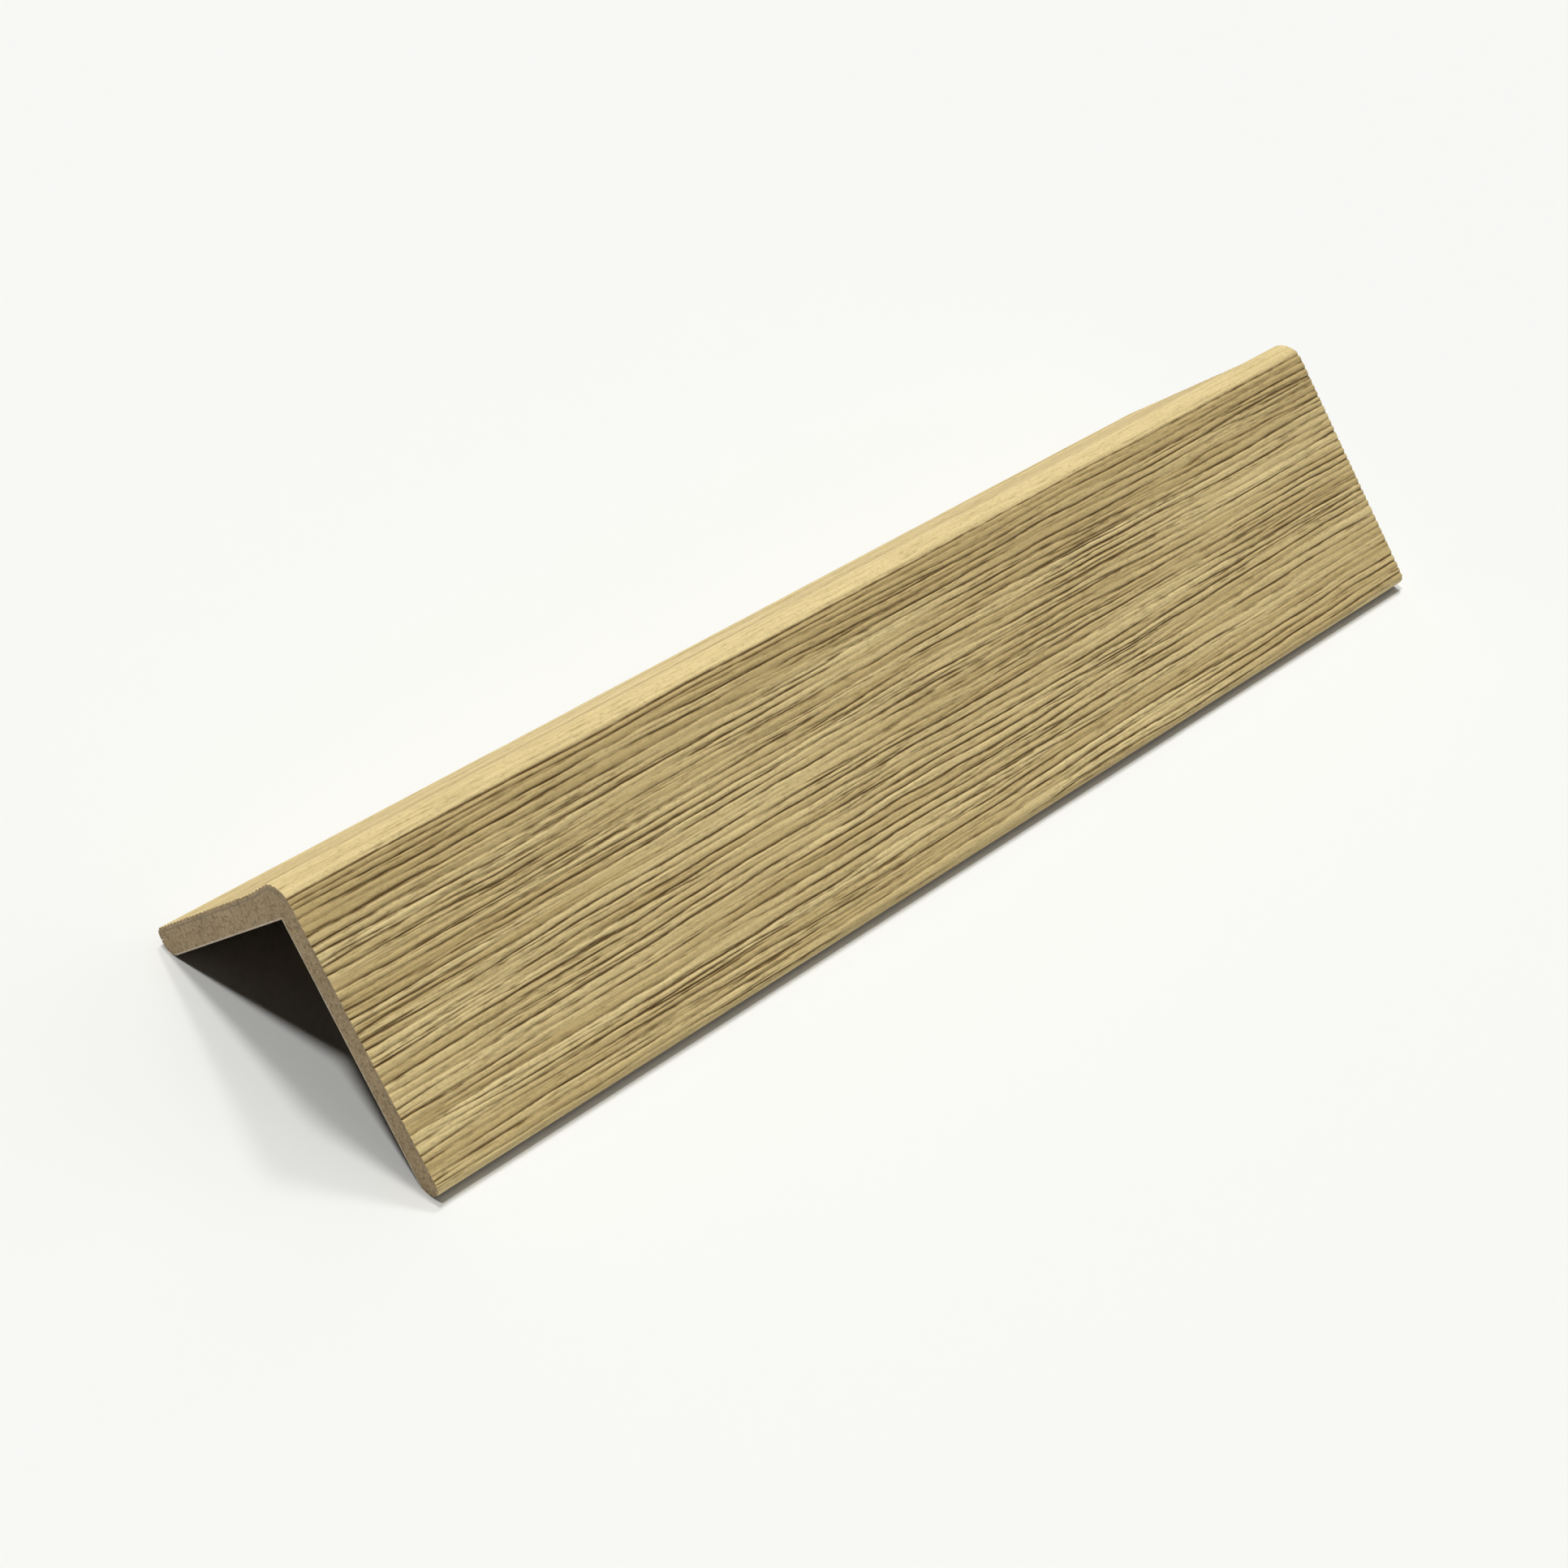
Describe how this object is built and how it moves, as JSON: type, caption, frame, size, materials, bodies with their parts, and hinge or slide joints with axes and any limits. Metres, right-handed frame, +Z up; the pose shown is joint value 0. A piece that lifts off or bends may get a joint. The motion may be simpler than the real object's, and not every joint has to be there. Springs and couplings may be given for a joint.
{
  "type": "threshold strip",
  "caption": "L-shaped threshold and edge strip: a wood-plastic angle profile wrapped in embossed wood-grain film, glued over the edge of a step, sill or panel.",
  "frame": {"origin": "on the surface that the two tips stand on, under the middle of the strip", "axes": "+Z up through the outer corner, +Y along the length, +X across the two legs"},
  "size_m": [0.0624, 0.208, 0.0325],
  "materials": {
    "core": "grey-brown wood-plastic composite, finely flecked, sawn at the ends",
    "glue": "thin amber hot-melt glue line",
    "film": "satin oak-coloured film embossed with lengthwise grain"
  },
  "bodies": {
    "root": {"profile_core": "core", "glue_layer": "glue", "decor_film": "film"}
  },
  "joints": []
}
